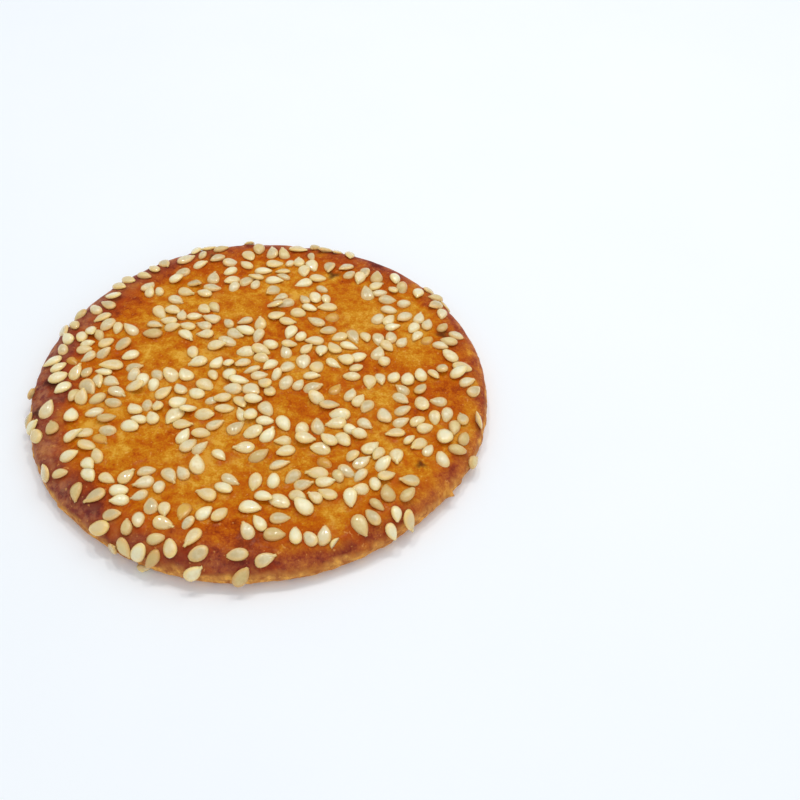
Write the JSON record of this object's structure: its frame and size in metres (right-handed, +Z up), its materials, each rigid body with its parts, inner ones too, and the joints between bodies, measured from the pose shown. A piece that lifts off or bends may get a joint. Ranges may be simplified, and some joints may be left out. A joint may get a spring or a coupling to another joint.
{
  "type": "sesame biscuit",
  "caption": "Thin round crisp biscuit with a flat underside, a rounded edge and hulled sesame seeds baked onto its glazed top; food to eat by hand or stand on a plate or tray.",
  "frame": {"origin": "middle of the flat underside, on the surface that the biscuit lies on", "axes": "+Z up through the thickness, -Y towards the side seen nearest in the picture, +X to its right"},
  "size_m": [0.0657, 0.0669, 0.0055],
  "materials": {
    "crust": "egg-washed golden-orange baked crust, mahogany at the edge, strewn with cream sesame seeds"
  },
  "bodies": {
    "root": {"biscuit": "crust"}
  },
  "joints": []
}
